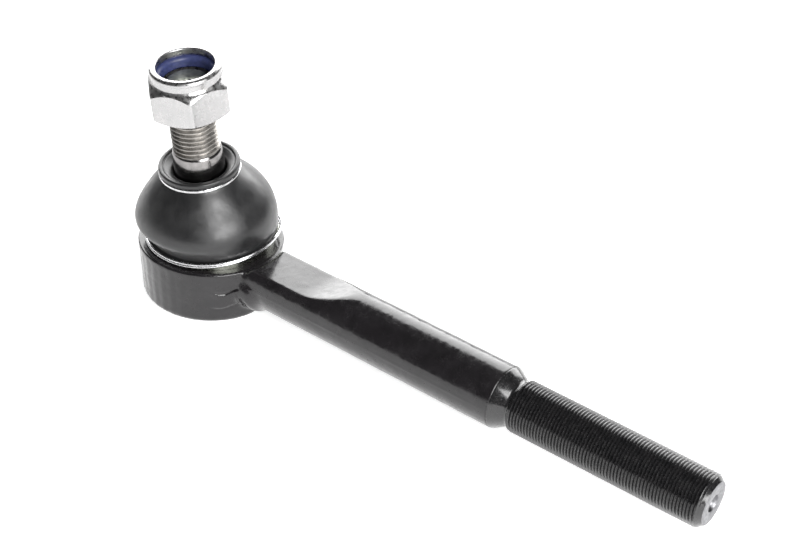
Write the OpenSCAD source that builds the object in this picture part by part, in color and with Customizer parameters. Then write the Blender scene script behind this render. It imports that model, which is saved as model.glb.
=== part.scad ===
// Tie rod end: a ball stud in a forged housing with a long threaded shank, a rubber boot and a lock nut.
// Frame, in millimetres: origin at the centre of the ball, +X along the shank to its threaded end,
// +Z up the housing axis. The stud leans from the housing axis towards -Y.

/* [Ball stud] */
// Diameter of the ball
ball_d = 22; // [21.8:0.1:22]
// Lean of the stud from the housing axis
stud_lean = 8.4; // [0:0.1:10]
// Turn of the lean from -Y towards -X, in degrees
lean_side = 6.5; // [-20:0.5:20]
// Diameter of the neck just above the ball
neck_d = 13; // [12:0.5:13]
// Nominal diameter of the stud's thread
stud_thread_d = 14; // [13.6:0.1:14]
// Height of the lower end of the thread above the ball centre
stud_thread_start = 39.5; // [38:0.5:41]
// Height of the stud's end above the ball centre
stud_end = 61.5; // [60:0.5:62]

/* [Lock nut] */
// Width across the flats of the hexagon
nut_flats = 22; // [21:0.5:24]
// Height of the nut's lower face above the ball centre
nut_base = 54.1; // [53:0.1:54.5]
// Height of the whole nut, rolled collar included
nut_height = 14.2; // [14:0.1:15]
// Turn of the hexagon about the stud
nut_turn = 17; // [0:1:59]

/* [Housing] */
// Radius of the cup at its rim
cup_rim_r = 22.9; // [22.5:0.1:23.5]
// Radius of the cup just above its rounded lower edge
cup_foot_r = 21.7; // [21:0.1:22.3]
// Height of the rim above the ball centre
cup_rim_z = 4.8; // [4.4:0.1:5]
// Depth of the lower face below the ball centre
cup_depth = 13.9; // [13.6:0.1:14.2]
// Radius of the bore that holds the ball seats
cavity_r = 15.5; // [15:0.1:16]

/* [Shank] */
// Radius of the round bar
shank_r = 9.6; // [9:0.1:10]
// Distance from the ball centre to the shoulder of the bar
shank_shoulder = 113.3; // [100:0.1:130]
// Height of the flat on top of the bar, beside the cup
shank_flat_z = 6; // [5:0.1:7]
// Nominal diameter of the shank's thread
shank_thread_d = 16; // [14:0.1:16]
// Length of the shank's thread
shank_thread_length = 60; // [50:1:80]

/* [Boot] */
// Largest radius of the rubber boot
boot_r = 21.7; // [21.5:0.1:22.5]
// Height at which the boot is widest
boot_wide_z = 17; // [16:0.5:18]
// Radius of the collar that seals on the stud
collar_r = 12.5; // [12:0.1:13]
// Height of the collar's top face along the stud
collar_top = 33.9; // [33.4:0.1:34.5]
// Thickness of the rubber
rubber = 1.6; // [1.2:0.1:1.8]

/* [Hidden] */
$fn = 96;

ball_r = ball_d / 2;
neck_r = neck_d / 2;
seat_play = 0.05;              // running clearance of the ball in its seats
press_play = 0.05;             // clearance of parts that are pressed or rolled in
thread_play = 0.05;            // the stud's thread lies this far inside the nut's

// Ball stud: flat under the ball, neck, flare, 1:10 taper and thread
ball_flat_z = -9.6;
flare_start = 14.5;
taper_start = 21;
taper_slope = 1 / 20;
stud_thread_r = stud_thread_d / 2 - thread_play;
taper_end_r = stud_thread_r + 0.3;
taper_start_r = taper_end_r + taper_slope * (stud_thread_start - taper_start);
stud_chamfer = 1;
stud_centre_r = 1.7;
stud_centre_depth = 2.2;

// Housing: seat bore, stud opening, boot groove, cap recess and rolled edge
cavity_top = 6.6;
opening_r = 10.7;
mouth_z = 9.8;
mouth_r = 12.2;
groove_r = 17.8;
groove_top = 7.6;
lip_r = 18.5;
cup_edge = 2.2;
rim_chamfer = 0.7;
cap_thickness = 1.3;
cap_recess_r = cavity_r + 1.4;
cap_roof = -11.9;
cap_floor = cap_roof - cap_thickness - press_play;
rolled_r = cavity_r - 0.4;

// Seats and spring
seat_r = cavity_r - press_play;
seat_split = -1;
seat_gap = 0.3;
seat_floor = -9.6;
seat_mouth_r = 9.9;
seat_mouth_z = 5;
spring_inner_r = 6.4;
spring_outer_r = seat_r - 0.4;
spring_thickness = 0.7;
spring_floor = cap_roof + 0.05;
spring_roof = seat_floor - 0.05;

// Shank: flat, shoulder cone, relief, thread, end chamfer and centre hole
flat_end = 44;
ramp_end = 64;
turned_r = cup_rim_r + 1.2;    // the rim and the boot groove are turned, clear of the bar, to this radius
cone_end = shank_shoulder + 4;
shank_thread_r = shank_thread_d / 2;
relief_r = shank_thread_r - 1;
shank_thread_start = cone_end + 1.2;
shank_thread_end = shank_thread_start + shank_thread_length;
shank_chamfer = 1.5;
shank_end = shank_thread_end + shank_chamfer;
centre_hole_r = 2.2;
centre_hole_depth = 4;

// Boot: the foot sits in the housing groove, the dome is two rounded shoulders, the collar follows the stud
boot_sides = 48;
foot_inner_r = groove_r + 0.3;
foot_outer_r = 19.6;
foot_bottom = cup_rim_z + 0.3;
foot_top = 7.6;
dome_top = 30.6;
dome_foot = 7.8;
dome_rise = 21.5;
dome_drop = 17.1;
rise_power = 1.3;
drop_power = 2.5;
boot_neck_r = collar_r - 0.7;
dome_steps = 12;
lip_clearance = 0.35;
collar_rim = 1.5;
lean_start = 7.8;
lean_end = 17.5;

// Wire rings
clip_wire_r = 0.55;
clip_r = foot_outer_r + clip_wire_r + 0.1;
clip_z = foot_bottom + 0.7;
clip_pitch = 2 * clip_wire_r - 0.05;
top_wire_r = 0.4;
top_ring_r = boot_neck_r + top_wire_r + 0.08;
top_ring_z = dome_top + 0.9;

// Nut: hexagon, rolled collar and the groove of the plastic insert
hex_height = 10.2;
hex_chamfer = 1.4;
crown_r = 10.5;
crown_round = 1.2;
crown_opening_r = 8.5;
insert_r = 9.3;
insert_floor = nut_base + 8.9;
insert_height = 3.2;
nut_thread_r = stud_thread_d / 2;
nut_countersink = 0.9;

// Everything on the leaning stud is drawn upright and then tipped about the ball centre
module on_stud() {
    rotate([0, 0, -lean_side]) rotate([stud_lean, 0, 0]) rotate([0, 0, lean_side]) children();
}

// Quarter-round outline points about (cx, cz), from angle a0 to a1
function arc(cx, cz, r, a0, a1, steps) =
    [for (i = [0 : steps]) let (a = a0 + (a1 - a0) * i / steps) [cx + r * cos(a), cz + r * sin(a)]];

// Round bar lying along +X between two stations, r0 and r1 being its radii there
module bar(x0, x1, r0, r1) {
    translate([x0, 0, 0]) rotate([0, 90, 0]) cylinder(h = x1 - x0, r1 = r0, r2 = r1);
}

module cup_outline() {
    polygon(concat(
        [[rolled_r, -cup_depth]],
        arc(cup_foot_r - cup_edge, -cup_depth + cup_edge, cup_edge, -90, 0, 6),
        [[cup_rim_r, cup_rim_z - rim_chamfer],
         [cup_rim_r - rim_chamfer, cup_rim_z],
         [groove_r, cup_rim_z],
         [groove_r, groove_top],
         [lip_r, groove_top],
         [lip_r, mouth_z - rim_chamfer],
         [lip_r - rim_chamfer, mouth_z],
         [mouth_r, mouth_z],
         [opening_r, cavity_top],
         [cavity_r, cavity_top],
         [cavity_r, cap_roof],
         [cap_recess_r, cap_roof],
         [cap_recess_r, cap_floor],
         [rolled_r, cap_floor]]));
}

// Wedge that takes the top off the bar: level beside the cup, then rising until the bar is round again
module flat_cutter() {
    top = shank_r + 1;
    translate([0, shank_r, 0]) rotate([90, 0, 0]) linear_extrude(2 * shank_r)
        polygon([[cavity_r, shank_flat_z], [flat_end, shank_flat_z], [ramp_end, top], [cavity_r, top]]);
}

module shank() {
    difference() {
        bar(cavity_r + 2, shank_shoulder, shank_r, shank_r);
        flat_cutter();
        translate([0, 0, cup_rim_z]) cylinder(h = shank_r, r = turned_r);
    }
    bar(shank_shoulder, cone_end, shank_r, relief_r);
    bar(cone_end, shank_thread_start, relief_r, relief_r);
    bar(shank_thread_start, shank_thread_end, shank_thread_r, shank_thread_r);
    bar(shank_thread_end, shank_end, shank_thread_r, shank_thread_r - shank_chamfer);
}

module housing() {
    color("#26262a") difference() {
        union() {
            rotate_extrude() cup_outline();
            shank();
        }
        // the seat bore and the cap recess stay open where the bar meets the cup
        translate([0, 0, cap_roof]) cylinder(h = cavity_top - cap_roof, r = cavity_r);
        bar(shank_end - centre_hole_depth, shank_end + 0.01, 0.01, centre_hole_r);
    }
}

module end_cap() {
    dish_r = 9;
    dish_depth = 0.3;
    color("#8d8f94") translate([0, 0, cap_roof - cap_thickness]) difference() {
        cylinder(h = cap_thickness, r = cap_recess_r - press_play);
        translate([0, 0, -0.01]) cylinder(h = dish_depth, r = dish_r);
    }
}

module lower_seat() {
    color("#e8e2d0") difference() {
        translate([0, 0, seat_floor]) cylinder(h = seat_split - seat_gap - seat_floor, r = seat_r);
        sphere(r = ball_r + seat_play);
    }
}

module upper_seat() {
    color("#e8e2d0") difference() {
        translate([0, 0, seat_split]) cylinder(h = cavity_top - press_play - seat_split, r = seat_r);
        sphere(r = ball_r + seat_play);
        translate([0, 0, seat_mouth_z])
            cylinder(h = cavity_top - seat_mouth_z, r1 = seat_mouth_r, r2 = opening_r);
    }
}

// Dished washer: its inner edge bears on the cap and its outer edge on the lower seat
module preload_spring() {
    color("#5c5f66") rotate_extrude() polygon([
        [spring_inner_r, spring_floor],
        [spring_outer_r, spring_roof - spring_thickness],
        [spring_outer_r, spring_roof],
        [spring_inner_r, spring_floor + spring_thickness]]);
}

module stud_outline() {
    ball_flat_r = sqrt(ball_r * ball_r - ball_flat_z * ball_flat_z);
    flat_angle = atan2(ball_flat_z, ball_flat_r);
    neck_angle = acos(neck_r / ball_r);
    flare_mid = (flare_start + taper_start) / 2;
    flare_grow = taper_start_r - neck_r;
    polygon(concat(
        [[0, ball_flat_z]],
        arc(0, 0, ball_r, flat_angle, neck_angle, 40),
        [[neck_r, flare_start],
         [neck_r + 0.15 * flare_grow, (flare_start + flare_mid) / 2],
         [neck_r + 0.5 * flare_grow, flare_mid],
         [neck_r + 0.88 * flare_grow, (flare_mid + taper_start) / 2],
         [taper_start_r, taper_start],
         [taper_end_r, stud_thread_start - 0.6],
         [stud_thread_r, stud_thread_start],
         [stud_thread_r, stud_end - stud_chamfer],
         [stud_thread_r - stud_chamfer, stud_end],
         [stud_centre_r, stud_end],
         [0, stud_end - stud_centre_depth]]));
}

module ball_stud() { color("#8f8c86") on_stud() rotate_extrude() stud_outline(); }

// Dome radius at a height: one shoulder above boot_wide_z and one below it
function dome_radius(z, grow) =
    let (rise = z > boot_wide_z,
         reach = (rise ? dome_rise : dome_drop) + grow,
         power = rise ? rise_power : drop_power)
    (boot_r + grow) * pow(1 - pow(abs(z - boot_wide_z) / reach, power), 1 / power);

// Height where the upper shoulder has the given radius
function dome_level(r, grow) =
    boot_wide_z + (dome_rise + grow) * pow(1 - pow(r / (boot_r + grow), rise_power), 1 / rise_power);

// Share of the stud's lean that the boot has taken up at a height
function lean_share(z) =
    let (s = min(1, max(0, (z - lean_start) / (lean_end - lean_start)))) s * s * (3 - 2 * s);

// Closed outline of the rubber, from the foot up the outside, over the collar and down the inside
function boot_outline() =
    let (lip_z = collar_top - 2.6,
         lip_in = taper_end_r + taper_slope * (stud_thread_start - lip_z) + lip_clearance,
         inner_top = dome_level(lip_in + 2.4, -rubber),
         inner_foot = 9.9)
    concat(
        [[foot_outer_r, foot_bottom], [foot_outer_r, foot_top]],
        [for (i = [0 : dome_steps]) let (z = dome_foot + (dome_top - dome_foot) * i / dome_steps)
            [dome_radius(z, 0), z]],
        [[boot_neck_r, dome_top + 0.3],
         [boot_neck_r, dome_top + 1.45],
         [collar_r, dome_top + 1.7],
         [collar_r, collar_top - 0.3],
         [collar_r - 0.3, collar_top],
         [collar_r - collar_rim, collar_top],
         [collar_r - collar_rim - 0.2, collar_top - 0.7],
         [lip_in + 0.3, lip_z],
         [lip_in, lip_z - 0.5],
         [lip_in, lip_z - 2.2],
         [lip_in + 1, lip_z - 3]],
        [for (i = [0 : dome_steps]) let (z = inner_top + (inner_foot - inner_top) * i / dome_steps)
            [dome_radius(z, -rubber), z]],
        [[lip_r + 0.3, mouth_z - 1.2],
         [lip_r + 0.3, groove_top - 0.3],
         [foot_inner_r, groove_top - 0.4],
         [foot_inner_r, foot_bottom]]);

// The outline is swept round the housing axis, each level tipped by its share of the lean
module dust_boot() {
    outline = boot_outline();
    rings = len(outline);
    points = [for (p = outline, k = [0 : boot_sides - 1])
        let (turn = 360 * k / boot_sides, lean = stud_lean * lean_share(p[1]),
             across = p[0] * cos(turn), along = p[0] * sin(turn),
             y = along * cos(lean) - p[1] * sin(lean))
        [across * cos(lean_side) + y * sin(lean_side), y * cos(lean_side) - across * sin(lean_side),
         along * sin(lean) + p[1] * cos(lean)]];
    faces = [for (i = [0 : rings - 1], k = [0 : boot_sides - 1])
        let (a = i * boot_sides, b = ((i + 1) % rings) * boot_sides, n = (k + 1) % boot_sides)
        each [[a + k, b + k, b + n], [a + k, b + n, a + n]]];
    color("#1b1b1d") polyhedron(points = points, faces = faces);
}

// Spring wire wound twice round the boot's foot
module boot_clip_ring() {
    color("#c9ccd1") rotate_extrude() for (turn = [0 : 1])
        translate([clip_r, clip_z + turn * clip_pitch]) circle(r = clip_wire_r, $fn = 24);
}

// Wire ring that closes the collar on the stud
module boot_top_ring() {
    color("#c9ccd1") on_stud() rotate_extrude()
        translate([top_ring_r, top_ring_z]) circle(r = top_wire_r, $fn = 24);
}

module lock_nut() {
    corner_r = nut_flats / sqrt(3);
    crown_top = nut_height;
    color("#d5d6d8") on_stud() translate([0, 0, nut_base]) difference() {
        union() {
            intersection() {
                rotate([0, 0, nut_turn]) cylinder(h = hex_height, r = corner_r, $fn = 6);
                rotate_extrude() polygon([
                    [0, 0], [nut_flats / 2 - 0.2, 0], [corner_r + 0.05, 0.9],
                    [corner_r + 0.05, hex_height - hex_chamfer],
                    [crown_r + 0.1, hex_height], [0, hex_height]]);
            }
            rotate_extrude() polygon(concat(
                [[0, hex_height - 1], [crown_r, hex_height - 1]],
                arc(crown_r - crown_round, crown_top - crown_round, crown_round, 0, 90, 6),
                [[0, crown_top]]));
        }
        translate([0, 0, -0.01]) cylinder(h = crown_top + 0.02, r = nut_thread_r);
        translate([0, 0, -0.01])
            cylinder(h = nut_countersink, r1 = nut_thread_r + nut_countersink, r2 = nut_thread_r);
        translate([0, 0, insert_floor - nut_base]) cylinder(h = insert_height, r = insert_r + press_play);
        translate([0, 0, insert_floor - nut_base]) cylinder(h = crown_top, r = crown_opening_r);
    }
}

module nylon_insert() {
    color("#5a63c8") on_stud() translate([0, 0, insert_floor + press_play]) difference() {
        cylinder(h = insert_height - 2 * press_play, r = insert_r);
        translate([0, 0, -0.01]) cylinder(h = insert_height, r = nut_thread_r);
    }
}

housing();
end_cap();
lower_seat();
upper_seat();
preload_spring();
ball_stud();
dust_boot();
boot_clip_ring();
boot_top_ring();
lock_nut();
nylon_insert();
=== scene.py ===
"""Tie rod end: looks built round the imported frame. Lengths are written in millimetres and scaled by MM."""
import math

import bmesh
import bpy
import numpy as np
from mathutils import Matrix, Vector, noise


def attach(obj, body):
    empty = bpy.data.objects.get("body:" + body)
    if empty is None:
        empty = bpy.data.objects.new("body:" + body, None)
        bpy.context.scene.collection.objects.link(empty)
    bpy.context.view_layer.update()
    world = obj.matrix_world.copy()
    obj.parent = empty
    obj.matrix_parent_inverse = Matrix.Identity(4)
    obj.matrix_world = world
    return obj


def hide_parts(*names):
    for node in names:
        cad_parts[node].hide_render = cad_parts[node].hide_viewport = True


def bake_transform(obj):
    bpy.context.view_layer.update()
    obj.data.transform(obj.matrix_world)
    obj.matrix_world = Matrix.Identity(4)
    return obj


MM = 0.001
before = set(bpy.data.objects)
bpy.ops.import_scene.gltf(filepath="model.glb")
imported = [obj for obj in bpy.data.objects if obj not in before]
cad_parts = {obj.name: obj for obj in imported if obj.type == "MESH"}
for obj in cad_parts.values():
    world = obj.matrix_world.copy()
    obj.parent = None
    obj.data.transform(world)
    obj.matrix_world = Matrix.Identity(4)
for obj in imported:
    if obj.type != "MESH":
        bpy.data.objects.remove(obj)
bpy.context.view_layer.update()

# ---------------------------------------------------------------- driving sizes
# The housing and the lean are as in the CAD model. The visible stud, nut and boot are a little larger.
LEAN, LEAN_SIDE = math.radians(8.4), math.radians(6.5)   # rest lean of the stud: towards -Y, turned to -X
CUP_DEPTH, CUP_RIM_Z, CUP_RIM_R, CUP_FOOT_R = 13.9, 4.8, 22.9, 21.7
CAVITY_R, CAP_ROOF, CAVITY_TOP = 15.5, -11.9, 6.6
SHANK_R, SHOULDER, FLAT_Z = 9.6, 113.3, 6.0
THREAD_R, THREAD_END, SHANK_END = 8.0, 178.5, 180.0
STUD_THREAD_R, STUD_THREAD_START, STUD_END = 7.25, 39.5, 63.0
NUT_BASE, NUT_FLATS, NUT_HEIGHT, NUT_TURN = 53.65, 22.6, 15.1, 17.0
BOOT_R, BOOT_WIDE, DOME_TOP, COLLAR_R, COLLAR_TOP, NECK_R = 22.05, 17.0, 30.6, 12.5, 33.9, 11.8
DOME_RISE, DOME_DROP, RISE_POWER, DROP_POWER = 21.5, 17.1, 1.3, 2.5


# ---------------------------------------------------------------- mesh helpers
def new_object(name, verts, faces, materials, sharp=40, weld=0.002, slots=None):
    """A mesh object from millimetre points. Points closer than weld millimetres become one."""
    mesh = bpy.data.meshes.new(name)
    mesh.from_pydata([tuple(v) for v in np.asarray(verts) * MM], [], [tuple(f) for f in faces])
    if slots is not None:
        mesh.polygons.foreach_set("material_index", np.asarray(slots, np.int32))
    for material in materials:
        mesh.materials.append(material)
    tidy(mesh, weld)
    finish_shading(mesh, sharp)
    obj = bpy.data.objects.new(name, mesh)
    bpy.context.scene.collection.objects.link(obj)
    return obj


def tidy(mesh, weld):
    """Welds doubled points, drops slivers and points every face outwards."""
    bm = bmesh.new()
    bm.from_mesh(mesh)
    bmesh.ops.remove_doubles(bm, verts=bm.verts, dist=weld * MM)
    bmesh.ops.dissolve_degenerate(bm, edges=bm.edges, dist=weld * MM * 0.1)
    loose = [v for v in bm.verts if not v.link_faces]
    bmesh.ops.delete(bm, geom=loose, context="VERTS")
    bmesh.ops.recalc_face_normals(bm, faces=bm.faces)
    bm.to_mesh(mesh)
    bm.free()


def finish_shading(mesh, sharp):
    mesh.polygons.foreach_set("use_smooth", [True] * len(mesh.polygons))
    mesh.set_sharp_from_angle(angle=math.radians(sharp))
    mesh.update()


def place(obj, body, slot, *nodes):
    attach(obj, body)
    if nodes:
        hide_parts(*nodes)
    return obj


def lean_points(points, share=1.0):
    """Points of the upright stud frame, tipped about the ball centre by a share of the rest lean."""
    p = np.asarray(points, float)
    c, d = math.cos(LEAN_SIDE), math.sin(LEAN_SIDE)
    across, along = p[:, 0] * c - p[:, 1] * d, p[:, 0] * d + p[:, 1] * c
    lean = LEAN * share
    y = along * np.cos(lean) - p[:, 2] * np.sin(lean)
    z = along * np.sin(lean) + p[:, 2] * np.cos(lean)
    return np.column_stack([across * c + y * d, y * c - across * d, z])


def lay_along_x(points):
    """Turns a lathe's own axis from +Z to +X."""
    p = np.asarray(points, float)
    return np.column_stack([p[:, 2], p[:, 1], -p[:, 0]])


def arc(cx, cz, r, a0, a1, steps):
    angles = np.radians(np.linspace(a0, a1, steps + 1))
    return [(cx + r * math.cos(a), cz + r * math.sin(a)) for a in angles]


class Lathe:
    """Rows of points round an axis. Each row gives a radius and a height for every column."""

    def __init__(self, columns, closed=False):
        self.turns = np.linspace(0, 1, columns + 1)
        self.rows = []
        self.closed = closed

    def row(self, r, z):
        one = np.ones_like(self.turns)
        self.rows.append((one * r, one * z))

    def profile(self, points):
        for r, z in points:
            self.row(r, z)

    def thread(self, z0, z1, pitch, depth, radius, limit, fade=None, inside=False):
        """A right-hand thread between two heights. limit(z) keeps the crests under an end chamfer,
        and fade(z), from 0 to 1, lets the groove run out."""
        shape = [(0.00, 1.0), (0.09, 0.97), (0.15, 0.87), (0.40, 0.13), (0.45, 0.02),
                 (0.55, 0.02), (0.60, 0.13), (0.85, 0.87), (0.91, 0.97)]
        count = int(math.ceil((z1 - z0) / pitch)) + 2
        for k in range(-1, count):
            for part, drop in shape:
                z = np.clip(z0 + pitch * (k + part + self.turns), z0, z1)
                share = 1.0 if fade is None else fade(z)
                r = radius + (depth * drop * share if inside else -depth * drop * share)
                r = np.maximum(r, limit(z)) if inside else np.minimum(r, limit(z))
                self.rows.append((r, z))

    def build(self):
        angle = 2 * np.pi * self.turns
        points = np.concatenate([np.column_stack([r * np.cos(angle), r * np.sin(angle), z])
                                 for r, z in self.rows])
        n = len(self.turns)
        faces = []
        rows = len(self.rows)
        for i in range(rows if self.closed else rows - 1):
            a, b = i * n, ((i + 1) % rows) * n
            faces.extend((a + k, a + k + 1, b + k + 1, b + k) for k in range(n - 1))
        return points, faces


def tube(path, radius, sides=10):
    """A round wire swept along a path, with domed ends."""
    path = np.asarray(path, float)
    tangent = np.gradient(path, axis=0)
    tangent /= np.linalg.norm(tangent, axis=1)[:, None]
    side = np.cross(tangent, [0, 0, 1.0])
    side /= np.linalg.norm(side, axis=1)[:, None]
    up = np.cross(side, tangent)
    points, faces = [], []
    stations = [(0, -radius * math.cos(a), radius * math.sin(a)) for a in np.radians([12, 40, 68])]
    stations += [(i, 0, radius) for i in range(len(path))]
    stations += [(len(path) - 1, radius * math.cos(a), radius * math.sin(a))
                 for a in np.radians([68, 40, 12])]
    for i, along, r in stations:
        centre = path[i] + tangent[i] * along
        for k in range(sides):
            a = 2 * math.pi * k / sides
            points.append(centre + r * (math.cos(a) * side[i] + math.sin(a) * up[i]))
    count = len(stations)
    for i in range(count - 1):
        for k in range(sides):
            n = (k + 1) % sides
            faces.append((i * sides + k, i * sides + n, (i + 1) * sides + n, (i + 1) * sides + k))
    faces.append(tuple(range(sides)))
    faces.append(tuple(reversed(range((count - 1) * sides, count * sides))))
    return np.array(points), faces


# ---------------------------------------------------------------- materials
class Surface:
    """A Principled material and the few nodes that its detail is made of. Scales are per millimetre."""

    def __init__(self, name, color, metallic=0.0, roughness=0.4, **sockets):
        self.material = bpy.data.materials.new(name)
        self.material.use_nodes = True
        self.tree = self.material.node_tree
        self.bsdf = self.tree.nodes["Principled BSDF"]
        self.bsdf.inputs["Base Color"].default_value = (*color, 1)
        self.bsdf.inputs["Metallic"].default_value = metallic
        self.bsdf.inputs["Roughness"].default_value = roughness
        for socket, value in sockets.items():
            self.bsdf.inputs[socket.replace("_", " ")].default_value = value
        self.place = self.node("ShaderNodeTexCoord").outputs["Object"]
        self.normal = None

    def node(self, kind, **settings):
        made = self.tree.nodes.new(kind)
        for key, value in settings.items():
            setattr(made, key, value)
        return made

    def link(self, output, socket):
        self.tree.links.new(output, socket)

    def mapped(self, stretch=(1, 1, 1), turn=(0, 0, 0)):
        mapping = self.node("ShaderNodeMapping")
        mapping.inputs["Rotation"].default_value = turn
        mapping.inputs["Scale"].default_value = stretch
        self.link(self.place, mapping.inputs["Vector"])
        return mapping.outputs["Vector"]

    def grain(self, per_mm, detail=3.0, rough=0.55, stretch=(1, 1, 1), warp=0.0):
        tex = self.node("ShaderNodeTexNoise")
        tex.inputs["Scale"].default_value = per_mm / MM
        tex.inputs["Detail"].default_value = detail
        tex.inputs["Roughness"].default_value = rough
        tex.inputs["Distortion"].default_value = warp
        self.link(self.mapped(stretch), tex.inputs["Vector"])
        return tex.outputs["Fac"]

    def ramp(self, factor, *stops):
        """stops are (position, grey or colour)."""
        made = self.node("ShaderNodeValToRGB")
        band = made.color_ramp
        while len(band.elements) < len(stops):
            band.elements.new(0.5)
        for element, (position, value) in zip(band.elements, stops):
            element.position = position
            element.color = (*value, 1) if hasattr(value, "__len__") else (value, value, value, 1)
        self.link(factor, made.inputs["Fac"])
        return made.outputs["Color"]

    def color(self, factor, *stops):
        self.link(self.ramp(factor, *stops), self.bsdf.inputs["Base Color"])

    def rough(self, factor, low, high, start=0.35, stop=0.65):
        self.link(self.ramp(factor, (start, low), (stop, high)), self.bsdf.inputs["Roughness"])

    def bump(self, height, depth_mm, strength=1.0):
        made = self.node("ShaderNodeBump")
        made.inputs["Strength"].default_value = strength
        made.inputs["Distance"].default_value = depth_mm * MM
        self.link(height, made.inputs["Height"])
        if self.normal is not None:
            self.link(self.normal, made.inputs["Normal"])
        self.normal = made.outputs["Normal"]
        self.link(self.normal, self.bsdf.inputs["Normal"])

    def math(self, kind, a, b=None):
        made = self.node("ShaderNodeMath", operation=kind)
        for socket, value in zip(made.inputs, (a, b)):
            if value is None:
                continue
            if isinstance(value, (int, float)):
                socket.default_value = value
            else:
                self.link(value, socket)
        return made.outputs[0]

    def rings(self, axis_point, per_mm):
        """Fine turning rings about a line along X through a point, in metres from the frame."""
        split = self.node("ShaderNodeSeparateXYZ")
        self.link(self.place, split.inputs[0])
        y = self.math("SUBTRACT", split.outputs[1], axis_point[1])
        z = self.math("SUBTRACT", split.outputs[2], axis_point[2])
        square = self.math("ADD", self.math("MULTIPLY", y, y), self.math("MULTIPLY", z, z))
        radius = self.math("SQRT", square)
        return self.math("SINE", self.math("MULTIPLY", radius, 2 * math.pi * per_mm / MM))


def forged_paint():
    s = Surface("forged_black_paint", (0.009, 0.0085, 0.009), roughness=0.2, Specular_IOR_Level=0.38,
                Coat_Weight=0.18, Coat_Roughness=0.08)
    blotch = s.grain(0.16, detail=5, rough=0.6, warp=0.4)
    s.color(blotch, (0.30, (0.006, 0.0055, 0.006)), (0.55, (0.010, 0.009, 0.010)),
            (0.75, (0.016, 0.015, 0.016)))
    s.rough(s.grain(0.45, detail=6, rough=0.65), 0.12, 0.30)
    s.bump(s.grain(0.30, detail=3, rough=0.5), 0.08, 0.5)
    s.bump(s.grain(1.4, detail=4, rough=0.6), 0.022, 0.5)
    s.bump(s.grain(7.0, detail=2), 0.003, 0.4)
    return s.material


def turned_paint():
    s = Surface("turned_black_paint", (0.007, 0.007, 0.0075), roughness=0.2, Specular_IOR_Level=0.5,
                Coat_Weight=0.3, Coat_Roughness=0.08)
    s.color(s.grain(0.5, detail=4), (0.35, (0.005, 0.005, 0.0055)), (0.7, (0.012, 0.0115, 0.012)))
    s.rough(s.grain(1.2, detail=4), 0.14, 0.30)
    s.bump(s.grain(3.0, detail=3), 0.008, 0.6)
    return s.material


def end_face_steel():
    s = Surface("sawn_steel", (0.36, 0.36, 0.37), metallic=1.0, roughness=0.42)
    s.color(s.grain(0.6, detail=5), (0.3, (0.12, 0.12, 0.125)), (0.7, (0.25, 0.25, 0.26)))
    s.rough(s.grain(1.5, detail=4), 0.34, 0.55)
    s.bump(s.rings((0, 0, 0), 3.2), 0.01, 0.5)
    s.bump(s.grain(4.0, detail=4), 0.012, 0.6)
    return s.material


def rolled_steel():
    s = Surface("rolled_thread_steel", (0.40, 0.375, 0.345), metallic=1.0, roughness=0.34)
    s.color(s.grain(0.35, detail=5, warp=0.6), (0.3, (0.20, 0.19, 0.18)), (0.55, (0.33, 0.315, 0.295)),
            (0.8, (0.46, 0.44, 0.415)))
    s.rough(s.grain(1.6, detail=5, stretch=(1, 1, 4)), 0.26, 0.46)
    s.bump(s.grain(2.5, detail=4, stretch=(1, 1, 5)), 0.010, 0.6)
    return s.material


def ground_steel():
    s = Surface("ground_taper_steel", (0.33, 0.32, 0.31), metallic=1.0, roughness=0.16)
    s.color(s.grain(0.3, detail=4), (0.3, (0.14, 0.135, 0.135)), (0.7, (0.28, 0.27, 0.265)))
    s.rough(s.grain(0.8, detail=4, stretch=(1, 1, 8)), 0.10, 0.26)
    s.bump(s.grain(1.2, detail=3, stretch=(0.4, 0.4, 9)), 0.004, 0.6)
    return s.material


def stud_end_steel():
    s = Surface("plated_stud_end", (0.36, 0.37, 0.33), metallic=1.0, roughness=0.5)
    s.color(s.grain(0.9, detail=5), (0.3, (0.34, 0.36, 0.31)), (0.7, (0.56, 0.57, 0.51)))
    s.rough(s.grain(1.8, detail=3), 0.40, 0.62)
    s.bump(s.grain(3.0, detail=4), 0.02, 0.6)
    return s.material


def zinc_plate():
    s = Surface("bright_zinc_plate", (0.62, 0.62, 0.62), metallic=1.0, roughness=0.3)
    s.color(s.grain(0.22, detail=5, warp=0.5), (0.25, (0.38, 0.38, 0.38)), (0.6, (0.42, 0.415, 0.415)),
            (0.85, (0.47, 0.46, 0.45)))
    s.rough(s.grain(0.8, detail=5), 0.22, 0.42)
    s.bump(s.grain(0.5, detail=3), 0.03, 0.35)
    s.bump(s.grain(3.5, detail=4), 0.008, 0.6)
    return s.material


def blue_nylon():
    s = Surface("blue_nylon", (0.03, 0.04, 0.13), roughness=0.3)
    s.color(s.grain(0.7, detail=4), (0.3, (0.020, 0.027, 0.085)), (0.7, (0.042, 0.052, 0.15)))
    s.rough(s.grain(1.5, detail=3), 0.34, 0.52)
    s.bump(s.grain(2.5, detail=3), 0.01, 0.6)
    return s.material


def boot_rubber():
    s = Surface("boot_rubber", (0.009, 0.009, 0.0095), roughness=0.34, Specular_IOR_Level=0.55,
                Sheen_Weight=0.05, Sheen_Roughness=0.4)
    s.color(s.grain(0.12, detail=4, warp=0.5), (0.3, (0.007, 0.007, 0.0075)), (0.7, (0.014, 0.014, 0.0145)))
    s.rough(s.grain(0.25, detail=5, rough=0.6), 0.30, 0.45)
    s.bump(s.grain(0.18, detail=2), 0.14, 0.35)
    s.bump(s.grain(2.2, detail=3), 0.010, 0.55)
    return s.material


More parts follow.
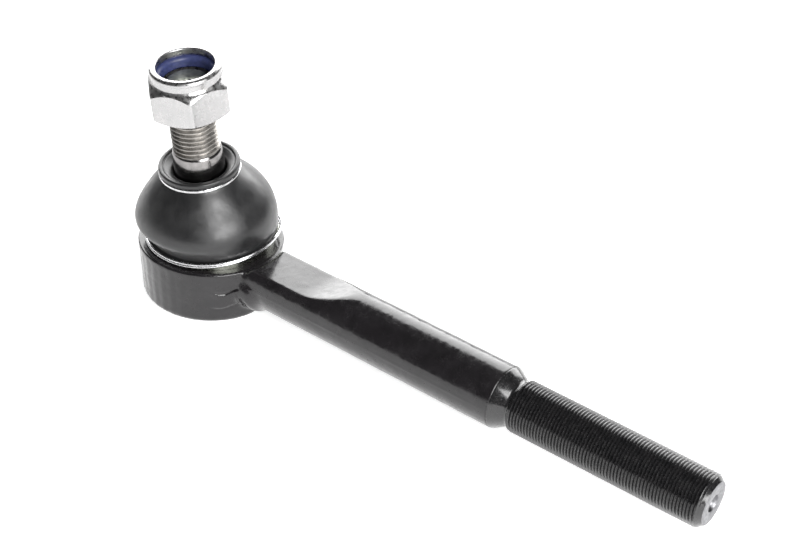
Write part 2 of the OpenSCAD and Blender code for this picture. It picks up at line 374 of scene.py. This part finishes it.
def spring_wire():
    s = Surface("bright_spring_wire", (0.72, 0.72, 0.73), metallic=1.0, roughness=0.2)
    s.color(s.grain(0.8, detail=4), (0.3, (0.55, 0.55, 0.56)), (0.7, (0.82, 0.82, 0.83)))
    s.rough(s.grain(1.4, detail=3), 0.14, 0.30)
    s.bump(s.grain(4.0, detail=3), 0.004, 0.5)
    return s.material


def acetal():
    s = Surface("acetal_seat", (0.78, 0.75, 0.66), roughness=0.45, Subsurface_Weight=0.1,
                Subsurface_Scale=0.001)
    s.color(s.grain(0.3, detail=4), (0.3, (0.72, 0.69, 0.60)), (0.7, (0.83, 0.80, 0.72)))
    s.rough(s.grain(1.0, detail=3), 0.38, 0.55)
    s.bump(s.grain(2.0, detail=3), 0.01, 0.6)
    return s.material


def washer_steel():
    s = Surface("oiled_spring_steel", (0.22, 0.23, 0.26), metallic=1.0, roughness=0.34)
    s.color(s.grain(0.3, detail=5, warp=0.5), (0.3, (0.15, 0.15, 0.18)), (0.7, (0.30, 0.30, 0.34)))
    s.rough(s.grain(1.0, detail=4), 0.26, 0.46)
    s.bump(s.grain(3.0, detail=3), 0.008, 0.6)
    return s.material


def pressed_cap_paint():
    s = Surface("pressed_cap_paint", (0.018, 0.018, 0.02), roughness=0.34, Coat_Weight=0.2,
                Coat_Roughness=0.2)
    s.color(s.grain(0.3, detail=4), (0.3, (0.012, 0.012, 0.013)), (0.7, (0.028, 0.028, 0.030)))
    s.rough(s.grain(0.8, detail=4), 0.26, 0.46)
    s.bump(s.grain(1.5, detail=4), 0.02, 0.6)
    return s.material


# ---------------------------------------------------------------- forging: cup and shank
PAINT = forged_paint()
TURNED = turned_paint()
SAWN = end_face_steel()


def smoothstep(a, b, x):
    t = np.clip((x - a) / (b - a), 0, 1)
    return t * t * (3 - 2 * t)


def soft_min(a, b, width):
    """The smaller of a and b, with the corner between them rounded over about width."""
    h = np.clip(0.5 + 0.5 * (b - a) / width, 0, 1)
    return b + (a - b) * h - width * h * (1 - h)


def cup_solid():
    lathe = Lathe(144, closed=True)
    lathe.profile([(CAVITY_R - 0.4, -CUP_DEPTH)]
                  + arc(CUP_FOOT_R - 2.2, -CUP_DEPTH + 2.2, 2.2, -90, 0, 8)
                  + [(CUP_RIM_R, CUP_RIM_Z - 0.5)]
                  + arc(CUP_RIM_R - 0.5, CUP_RIM_Z - 0.5, 0.5, 20, 90, 3)
                  + [(17.8, CUP_RIM_Z), (17.8, 7.6), (18.5, 7.6), (18.5, 9.1), (17.8, 9.8), (12.2, 9.8),
                     (10.7, CAVITY_TOP), (CAVITY_R, CAVITY_TOP), (CAVITY_R, CAP_ROOF),
                     (CAVITY_R + 1.4, CAP_ROOF), (CAVITY_R + 1.4, -13.25), (CAVITY_R - 0.4, -13.25)])
    return lathe.build()


def shank_solid():
    """A round bar, flat on top beside the cup, whose lower half flares where it runs into the cup."""
    stations = np.concatenate([np.arange(16.6, 66, 0.5), np.linspace(66, SHOULDER, 60)])
    sides = 96
    angle = np.arange(sides) * 2 * np.pi / sides
    flare_end, flare = 29.0, 5.0
    points = []
    for x in stations:
        reach = max(0.0, flare_end - x)
        r = SHANK_R + flare - math.sqrt(max(0.0, flare ** 2 - min(reach, flare) ** 2))
        r = min(r, SHANK_R + 2.2)
        r = SHANK_R + (r - SHANK_R) * smoothstep(0.25, -0.4, np.sin(angle))
        y, z = r * np.cos(angle), r * np.sin(angle)
        z = np.where(z < 0, z * np.minimum(1.0, 11.0 / r), z)
        out = np.hypot(x, y)
        level = FLAT_Z + (SHANK_R + 0.6 - FLAT_Z) * smoothstep(42, 64, x)
        level = CUP_RIM_Z - 0.4 + (level - CUP_RIM_Z + 0.4) * smoothstep(23.6, 24.6, out)
        z = soft_min(z, level, 0.5)
        points.append(np.column_stack([np.full(sides, x), y, z]))
    points = np.concatenate(points)
    n = len(stations)
    faces = []
    for i in range(n - 1):
        a, b = i * sides, (i + 1) * sides
        faces.extend((a + k, a + (k + 1) % sides, b + (k + 1) % sides, b + k) for k in range(sides))
    faces.append(tuple(range(sides)))
    faces.append(tuple(reversed(range((n - 1) * sides, n * sides))))
    return points, faces


def voxel_skin(obj, size_mm):
    modifier = obj.modifiers.new("skin", "REMESH")
    modifier.mode = "VOXEL"
    modifier.voxel_size = size_mm * MM
    modifier.adaptivity = 0
    graph = bpy.context.evaluated_depsgraph_get()
    made = bpy.data.meshes.new_from_object(obj.evaluated_get(graph))
    old = obj.data
    obj.modifiers.clear()
    obj.data = made
    bpy.data.meshes.remove(old)


def smooth(points, edges, weight, rounds, shrink=0.5, grow=-0.52):
    """Laplacian smoothing, each round a shrinking and a growing step, so that volume is kept."""
    count = len(points)
    degree = np.bincount(edges.ravel(), minlength=count)[:, None]
    for _ in range(rounds):
        for step in (shrink, grow):
            if step is None:
                continue
            total = np.column_stack([
                np.bincount(edges[:, 0], points[edges[:, 1], c], count)
                + np.bincount(edges[:, 1], points[edges[:, 0], c], count) for c in range(3)])
            points = points + weight[:, None] * step * (total / np.maximum(degree, 1) - points)
    return points


def fractal(points, per_mm, octaves, seed):
    shift = Vector((seed * 7.3, seed * 3.1, seed * 5.7))
    return np.array([noise.fractal(Vector(p) * per_mm + shift, 0.7, 2.0, octaves) for p in points])


def forging_relief(p):
    """How far, in millimetres, forging marks stand out of or lie in the plain surface."""
    x, y, z = p.T
    out = np.hypot(x, y)
    turn = np.degrees(np.arctan2(y, x))
    on_cup = (out > CUP_FOOT_R - 1.5) & (out < CUP_RIM_R + 0.6) & (z < CUP_RIM_Z - 0.3)
    on_bar = (x > 24) & (np.hypot(y, z) > SHANK_R - 4)
    side = on_cup * smoothstep(CUP_RIM_Z - 0.4, CUP_RIM_Z - 2.2, z)
    relief = 0.05 * fractal(p, 0.11, 3, 1) * np.maximum(side, on_bar)
    relief += 0.02 * fractal(p, 0.5, 3, 2) * np.maximum(side, on_bar)
    # trimming facets round the far and left side of the cup
    facet = np.abs((turn / 9.0) % 1 - 0.5)
    relief += side * 0.16 * (facet - 0.25) * smoothstep(50, 75, np.abs(turn))
    # parting line along both sides of the shank and round the cup
    bar_side = on_bar * smoothstep(SHANK_R - 1.2, SHANK_R - 0.4, np.abs(y)) * (x < SHOULDER - 1)
    line = np.exp(-((z - 0.6) / 0.35) ** 2)
    wander = 0.6 + 0.4 * np.sin(x * 0.21) * np.sin(x * 0.057 + 1)
    relief += bar_side * line * 0.13 * wander
    # trim scar on the cup beside each side of the shank: a shallow land between two folds
    for sign in (-1, 1):
        a = sign * turn
        near = smoothstep(50, 40, a) * smoothstep(12, 20, a)
        upper = -1.6 - 0.9 * np.sin(a * 0.21) - 0.045 * (a - 30)
        lower = -7.3 - 0.7 * np.sin(a * 0.17 + 1)
        land = smoothstep(upper + 0.5, upper - 0.2, z) * smoothstep(lower - 0.3, lower + 0.4, z)
        relief += on_cup * near * (0.32 * land - 0.22 * np.exp(-((z - upper - 0.35) / 0.4) ** 2)
                                   - 0.14 * np.exp(-((z - lower + 0.4) / 0.45) ** 2))
    return relief


def build_forging():
    cup, cup_faces = cup_solid()
    bar, bar_faces = shank_solid()
    points = np.concatenate([cup, bar])
    faces = list(cup_faces) + [tuple(i + len(cup) for i in f) for f in bar_faces]
    obj = new_object("forged_housing", points, faces, [PAINT])
    voxel_skin(obj, 0.36)
    mesh = obj.data
    p = np.zeros(len(mesh.vertices) * 3)
    mesh.vertices.foreach_get("co", p)
    p = p.reshape(-1, 3) / MM
    edges = np.zeros(len(mesh.edges) * 2, np.int64)
    mesh.edges.foreach_get("vertices", edges)
    edges = edges.reshape(-1, 2)
    p = smooth(p, edges, np.ones(len(p)), 6)
    out = np.hypot(p[:, 0], p[:, 1])
    cup_r = CUP_FOOT_R + (CUP_RIM_R - CUP_FOOT_R) * (p[:, 2] + CUP_DEPTH) / (CUP_RIM_Z + CUP_DEPTH)
    near = smoothstep(3.4, 1.2, np.abs(out - cup_r))
    near *= smoothstep(4.2, 2.0, np.abs(np.hypot(p[:, 1], p[:, 2]) - 10.4))
    near *= (p[:, 0] > 14) * smoothstep(CUP_RIM_Z - 0.4, CUP_RIM_Z - 1.6, p[:, 2])
    p = smooth(p, edges, near, 40, 0.5, None)
    mesh.vertices.foreach_set("co", (p * MM).ravel())
    mesh.update()
    normals = np.zeros(len(p) * 3)
    mesh.vertices.foreach_get("normal", normals)
    normals = normals.reshape(-1, 3)
    p = p + normals * forging_relief(p)[:, None]
    mesh.vertices.foreach_set("co", (p * MM).ravel())
    finish_shading(mesh, 60)
    mesh.materials.clear()
    mesh.materials.append(PAINT)
    return place(obj, "housing", "black_paint", "housing")


def build_threaded_end():
    """Shoulder cone, relief groove, fine thread, end chamfer and centre-drilled end face."""
    lathe = Lathe(80)
    lathe.profile([(0, SHOULDER - 1.5), (SHANK_R - 0.5, SHOULDER - 1.5), (SHANK_R - 0.12, SHOULDER - 0.1),
                   (SHANK_R - 0.2, SHOULDER + 0.25), (7.25, 117.0), (7.05, 117.4), (7.05, 117.9)])

    def chamfer(z):
        start = 7.1 + np.maximum(0, z - 118.1) * 1.2
        return np.minimum(start, 8.05 - np.maximum(0, z - THREAD_END + 0.3) * 0.95)

    lathe.thread(118.2, SHANK_END - 0.35, 1.0, 0.62, THREAD_R, chamfer)
    face_start = len(lathe.rows)
    lathe.profile([(6.45, SHANK_END - 0.05), (6.25, SHANK_END), (2.9, SHANK_END), (2.6, SHANK_END - 0.15),
                   (1.4, SHANK_END - 2.3), (1.4, SHANK_END - 3.4), (0, SHANK_END - 3.9)])
    points, faces = lathe.build()
    columns = len(lathe.turns) - 1
    slots = [0] * ((face_start) * columns) + [1] * (len(faces) - face_start * columns)
    obj = new_object("threaded_end", lay_along_x(points), faces, [TURNED, SAWN], sharp=30, slots=slots)
    return place(obj, "housing", "black_paint", "housing")


# ---------------------------------------------------------------- ball stud
def build_stud():
    ball_r, flat_z, neck_r = 11.0, -9.6, 6.5
    taper_start, taper_slope = 21.0, 1 / 20
    taper_end_r = STUD_THREAD_R + 0.3
    taper_start_r = taper_end_r + taper_slope * (STUD_THREAD_START - taper_start)
    ball = arc(0, 0, ball_r, math.degrees(math.atan2(flat_z, math.sqrt(ball_r ** 2 - flat_z ** 2))),
               math.degrees(math.acos(neck_r / ball_r)), 36)
    flare = [(neck_r + (taper_start_r - neck_r) * smoothstep(14.5, taper_start, z), z)
             for z in np.linspace(14.5, taper_start, 7)]
    lathe = Lathe(96)
    lathe.profile([(0, flat_z)] + ball + flare
                  + [(taper_end_r + taper_slope * (STUD_THREAD_START - z), z)
                     for z in np.linspace(24, 37.6, 5)]
                  + [(7.57, 38.2), (7.5, 38.7), (7.3, 39.15), (7.05, 39.4)])
    smooth_rows = len(lathe.rows)

    def chamfer(z):
        start = 7.0 + np.maximum(0, z - 39.4) * 0.7
        return np.minimum(start, STUD_THREAD_R - np.maximum(0, z - STUD_END + 0.9))

    def fade(z):
        return smoothstep(39.3, 40.6, z)

    lathe.thread(39.45, STUD_END - 0.15, 1.5, 0.88, STUD_THREAD_R, chamfer, fade)
    thread_rows = len(lathe.rows)
    lathe.profile([(6.25, STUD_END), (1.3, STUD_END), (1.15, STUD_END - 0.15), (0.7, STUD_END - 1.5),
                   (0, STUD_END - 2.1)])
    points, faces = lathe.build()
    columns = len(lathe.turns) - 1
    slots = ([1] * ((smooth_rows - 1) * columns) + [0] * ((thread_rows - smooth_rows) * columns))
    slots += [2] * (len(faces) - len(slots))
    obj = new_object("tapered_ball_stud", lean_points(points), faces,
                     [rolled_steel(), ground_steel(), stud_end_steel()], sharp=30, slots=slots)
    return place(obj, "stud", "stud_steel", "ball_stud")


# ---------------------------------------------------------------- rubber boot
def dome(z, grow=0.0):
    """Radius of the boot at a height. The ridge between the two shoulders is rounded by averaging."""
    levels = np.add.outer(np.atleast_1d(z), np.array([-2.4, -1.6, -0.8, 0.0, 0.8, 1.6, 2.4]))
    above = levels > BOOT_WIDE
    reach = np.where(above, DOME_RISE, DOME_DROP) + grow
    power = np.where(above, RISE_POWER, DROP_POWER)
    share = np.clip(np.abs(levels - BOOT_WIDE) / reach, 0, 1)
    r = (BOOT_R + grow) * (1 - share ** power) ** (1 / power)
    return r.mean(axis=1)


def build_boot():
    rubber = 1.6
    lip_z, lip_in = COLLAR_TOP - 1.9, 8.35
    outline = [(19.45, 5.15), (19.6, 5.35), (19.6, 7.2), (19.7, 7.55)]
    outline += list(zip(dome(np.linspace(8.0, DOME_TOP - 0.3, 40)), np.linspace(8.0, DOME_TOP - 0.3, 40)))
    outline += [(NECK_R + 0.05, DOME_TOP + 0.1), (NECK_R, DOME_TOP + 0.4), (NECK_R, DOME_TOP + 1.35),
                (NECK_R + 0.2, DOME_TOP + 1.5), (COLLAR_R - 0.15, DOME_TOP + 1.6), (COLLAR_R, DOME_TOP + 1.8),
                (COLLAR_R, COLLAR_TOP - 0.55), (COLLAR_R - 0.12, COLLAR_TOP - 0.2),
                (COLLAR_R - 0.4, COLLAR_TOP), (COLLAR_R - 0.95, COLLAR_TOP + 0.02),
                (COLLAR_R - 1.2, COLLAR_TOP - 0.1), (COLLAR_R - 1.3, COLLAR_TOP - 0.5),
                (COLLAR_R - 1.5, COLLAR_TOP - 0.62), (COLLAR_R - 1.7, COLLAR_TOP - 0.5),
                (COLLAR_R - 2.1, COLLAR_TOP - 0.6)]
    outline += [(lip_in + 0.6, lip_z + 0.4), (lip_in + 0.15, lip_z + 0.05), (lip_in, lip_z - 0.4),
                (lip_in, lip_z - 2.0), (lip_in + 0.4, lip_z - 2.8), (lip_in + 1.2, lip_z - 2.9)]
    inner = np.linspace(29.9, 9.9, 30)
    outline += list(zip(dome(inner, -rubber), inner))
    outline += [(18.85, 8.6), (18.8, 7.4), (18.2, 7.2), (18.1, 6.9), (18.1, 5.3), (18.25, 5.15)]
    lathe = Lathe(120, closed=True)
    lathe.profile(outline)
    points, faces = lathe.build()
    points = lean_points(points, smoothstep(7.8, 17.5, points[:, 2]))
    # the rubber isn't perfectly round: slow swells and a few soft dents
    wave = fractal(points, 0.06, 2, 5)
    body = smoothstep(9.5, 13, points[:, 2]) * smoothstep(29, 25, points[:, 2])
    radial = points / np.maximum(np.linalg.norm(points, axis=1), 1)[:, None]
    points = points + radial * (0.30 * wave * body)[:, None]
    obj = new_object("rubber_dust_boot", points, faces, [boot_rubber()], sharp=50)
    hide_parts("dust_boot")
    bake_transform(obj)
    return obj


# ---------------------------------------------------------------- wire rings
def build_clip_ring():
    """Two turns of spring wire round the boot's foot. The ring has sprung up on its +X side."""
    wire, turns = 0.45, 2.06
    t = np.linspace(0, 1, 280)
    angle = math.radians(-165) + t * turns * 2 * np.pi
    around = (np.degrees(angle) + 180) % 360 - 180           # 0 is +X
    rise = 4.0 * (1 + np.sin(np.radians(np.clip(around, -90, 15))))
    rise = np.where(around > 15, 5.03 * smoothstep(120, 15, around), rise)
    rise = np.where(around < -90, 0, rise)
    lift = 5.35 + 0.837 * t * turns + rise * 0.85
    outside = dome(lift + wire, 0.0) + wire + 0.3            # clear of the rubber above the wire as well
    r = np.maximum(20.4, np.where(lift > 6.8, outside, 0))
    r = np.convolve(np.pad(r, 8, mode="edge"), np.ones(17) / 17, mode="valid")
    path = np.column_stack([r * np.cos(angle), r * np.sin(angle), lift])
    points, faces = tube(path, wire)
    obj = new_object("foot_clip_wire", points, faces, [spring_wire()], sharp=60)
    return place(obj, "housing", "clip_wire", "boot_clip_ring")


def build_neck_band():
    """Plated lip of the neck, bare where the clip has sprung up at the +X side."""
    columns, levels = 90, 7
    angle = np.radians(np.linspace(-78, 70, columns))
    rise = 3.4 * (1 + np.sin(np.clip(angle, -np.pi / 2, math.radians(30)))) * smoothstep(1.22, 0.6, angle)
    share = np.linspace(0, 1, levels)[:, None]
    z = 4.85 + share * (0.35 + rise)[None, :]
    outer = np.maximum(19.95, np.array([dome(row, 0.0) for row in z]) + 0.15)
    outer = np.where(z < 7.6, 19.95, outer)
    shell = np.stack([outer, outer - 0.3])                    # outside, inside
    grid = np.stack([shell * np.cos(angle), shell * np.sin(angle), np.stack([z, z])], axis=-1)
    index = np.arange(2 * levels * columns).reshape(2, levels, columns)
    loop = np.concatenate([index[0], index[1][::-1]])         # closed section, level by level
    faces = [(loop[i, k], loop[i, k + 1], loop[(i + 1) % len(loop), k + 1], loop[(i + 1) % len(loop), k])
             for i in range(len(loop)) for k in range(columns - 1)]
    faces += [tuple(loop[:, 0]), tuple(reversed(loop[:, -1]))]
    s = Surface("plated_neck", (0.34, 0.35, 0.31), metallic=1.0, roughness=0.2)
    s.color(s.grain(0.5, detail=4), (0.3, (0.24, 0.25, 0.21)), (0.7, (0.45, 0.46, 0.41)))
    s.rough(s.grain(1.2, detail=4, stretch=(1, 1, 6)), 0.14, 0.32)
    s.bump(s.grain(2.0, detail=3, stretch=(0.5, 0.5, 8)), 0.006, 0.5)
    obj = new_object("plated_neck_lip", grid.reshape(-1, 3), faces, [s.material], sharp=40)
    return place(obj, "housing", "clip_wire")


def build_top_ring():
    turns, wire = 1.9, 0.34
    t = np.linspace(0, 1, 200)
    angle = math.radians(40) + t * turns * 2 * np.pi
    r = np.full_like(t, 12.28)
    path = np.column_stack([r * np.cos(angle), r * np.sin(angle), 31.12 + 0.66 * t])
    points, faces = tube(lean_points(path), wire)
    obj = new_object("collar_wire_ring", points, faces, [spring_wire()], sharp=60)
    return place(obj, "boot_collar", "clip_wire", "boot_top_ring")


# ---------------------------------------------------------------- lock nut and its insert
def build_nut():
    lathe = Lathe(180)
    turn = lathe.turns
    angle = 360 * turn
    apothem, corner = NUT_FLATS / 2, NUT_FLATS / math.sqrt(3)
    off = np.radians((angle - NUT_TURN + 30) % 60 - 30)      # from the nearest corner
    flat = apothem / np.cos(np.pi / 6 - np.abs(off))
    hexagon = soft_min(flat, corner - 0.22, 0.3)
    hex_top, top_r, bottom_r, bore = 10.7, 11.3, 11.1, 7.4
    lathe.profile([(bore, 9.4), (bore, 0.95), (bore + 0.7, 0.12), (bore + 0.9, 0.0),
                   (bottom_r - 0.3, 0.0), (bottom_r, 0.06)])
    low = 0.06 + np.maximum(0, hexagon - bottom_r) * 0.55
    high = hex_top - np.maximum(0, hexagon - top_r)
    lathe.row(hexagon - 0.10, low - 0.02)
    lathe.row(hexagon, low + 0.14)
    lathe.row(hexagon, high - 0.16)
    lathe.row(hexagon - 0.12, high + 0.03)
    lathe.row(top_r - 0.03, hex_top + 0.04)
    lathe.profile([(11.1, hex_top + 0.14), (10.8, hex_top + 0.45), (10.48, hex_top + 1.0),
                   (10.45, NUT_HEIGHT - 1.7)]
                  + arc(10.75 - 1.1, NUT_HEIGHT - 1.1, 1.1, -20, 90, 9)
                  + arc(9.1, NUT_HEIGHT - 0.45, 0.45, 90, 180, 4)
                  + [(8.65, NUT_HEIGHT - 1.55), (9.35, NUT_HEIGHT - 2.0), (9.35, 9.4), (bore, 9.4)])
    points, faces = lathe.build()
    points[:, 2] += NUT_BASE
    obj = new_object("hexagon_lock_nut", lean_points(points), faces, [zinc_plate()], sharp=24, weld=0.004)
    return place(obj, "nut", "plated_steel", "lock_nut")


def build_insert():
    base = NUT_BASE + 9.6
    lathe = Lathe(96, closed=True)
    lathe.profile([(7.42, base), (9.28, base), (9.3, base + 3.0), (8.9, base + 3.1), (8.3, base + 3.04),
                   (7.9, base + 2.85), (7.55, base + 2.4), (7.43, base + 1.8)])
    points, faces = lathe.build()
    obj = new_object("blue_nylon_insert", lean_points(points), faces, [blue_nylon()], sharp=40)
    return place(obj, "nut_carriage", "nylon", "nylon_insert")


# ---------------------------------------------------------------- end cap and hidden pieces
def build_cap():
    top, edge = CAP_ROOF, CAVITY_R + 1.35
    lathe = Lathe(96)
    lathe.profile([(0, top - 1.65), (7.2, top - 1.65), (8.2, top - 1.5), (9.4, top - 1.3), (13.6, top - 1.28),
                   (edge - 0.2, top - 1.28), (edge, top - 1.1), (edge, top - 0.2), (edge - 0.2, top),
                   (9.8, top), (8.6, top - 0.25), (7.6, top - 0.38), (0, top - 0.38)])
    points, faces = lathe.build()
    obj = new_object("pressed_end_cap", points, faces, [pressed_cap_paint()], sharp=40)
    return place(obj, "housing", "cap_steel", "end_cap")


def dress_hidden_nodes():
    seats = acetal()
    for node, material in (("lower_seat", seats), ("upper_seat", seats), ("preload_spring", washer_steel())):
        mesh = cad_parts[node].data
        mesh.materials.clear()
        mesh.materials.append(material)


# ---------------------------------------------------------------- floor, light and camera
def build_floor():
    size = 6.0
    level = -CUP_DEPTH * MM
    mesh = bpy.data.meshes.new("floor")
    mesh.from_pydata([(-size, -size, level), (size, -size, level), (size, size, level), (-size, size, level)],
                     [], [(0, 1, 2, 3)])
    s = Surface("pale_floor", (0.93, 0.93, 0.93), roughness=0.9, Specular_IOR_Level=0.0,
                Emission_Strength=0.75)    # keeps the floor white, without contact shadows
    mesh.materials.append(s.material)
    floor = bpy.data.objects.new("floor", mesh)
    bpy.context.scene.collection.objects.link(floor)


def area_light(name, azimuth, elevation, distance, size, watts, target=(0.06, 0, 0.01), color=(1, 1, 1)):
    """Soft box seen from the target in the direction given, in degrees, facing it."""
    a, e = math.radians(azimuth), math.radians(elevation)
    light = bpy.data.lights.new(name, "AREA")
    light.shape = "RECTANGLE"
    light.size, light.size_y = size
    light.energy = watts
    light.color = color
    obj = bpy.data.objects.new(name, light)
    direction = Vector((math.cos(a) * math.cos(e), math.sin(a) * math.cos(e), math.sin(e)))
    obj.location = Vector(target) + direction * distance
    obj.rotation_mode = "QUATERNION"
    obj.rotation_quaternion = direction.to_track_quat("Z", "Y")
    bpy.context.scene.collection.objects.link(obj)
    return obj


def build_light():
    """A bright sweep behind the part that only shows in reflections, a tall box at its right and a wide
    sheet overhead that does not show in them."""
    world = bpy.data.worlds.new("studio")
    bpy.context.scene.world = world
    world.use_nodes = True
    world.node_tree.nodes["Background"].inputs["Color"].default_value = (1, 1, 1, 1)
    world.node_tree.nodes["Background"].inputs["Strength"].default_value = 0.06
    sweep = area_light("back_sweep", 125, 27, 1.3, (2.2, 1.02), 47)
    sweep.visible_diffuse = False
    area_light("right_box", -23, 30.5, 1.0, (0.60, 0.83), 18)
    sheet = area_light("overhead_sheet", 60, 89, 1.4, (2.6, 2.6), 22)
    sheet.visible_glossy = False


def build_camera():
    """The view is given by the point on the optical axis, the direction to the camera, distance and roll."""
    target = Vector((64.29, 12.95, 16.02)) * MM
    azimuth, elevation, roll = map(math.radians, (-54.87, 33.59, 4.37))
    back = Vector((math.cos(azimuth) * math.cos(elevation), math.sin(azimuth) * math.cos(elevation),
                   math.sin(elevation)))
    camera = bpy.data.cameras.new("camera")
    camera.lens, camera.sensor_width = 72.0, 36.0
    camera.clip_start, camera.clip_end = 0.01, 20
    obj = bpy.data.objects.new("camera", camera)
    right = Vector((0, 0, 1)).cross(back).normalized()
    up = back.cross(right)
    turned_right = right * math.cos(roll) + up * math.sin(roll)
    turned_up = back.cross(turned_right)
    basis = Matrix((turned_right, turned_up, back)).transposed().to_4x4()
    basis.translation = target + back * (476.94 * MM)
    obj.matrix_world = basis
    bpy.context.scene.collection.objects.link(obj)
    bpy.context.scene.camera = obj


build_forging()
build_threaded_end()
build_stud()
build_boot()
build_clip_ring()
build_neck_band()
build_top_ring()
build_nut()
build_insert()
build_cap()
dress_hidden_nodes()
build_floor()
build_light()
build_camera()
bpy.context.scene.view_settings.view_transform = "Standard"
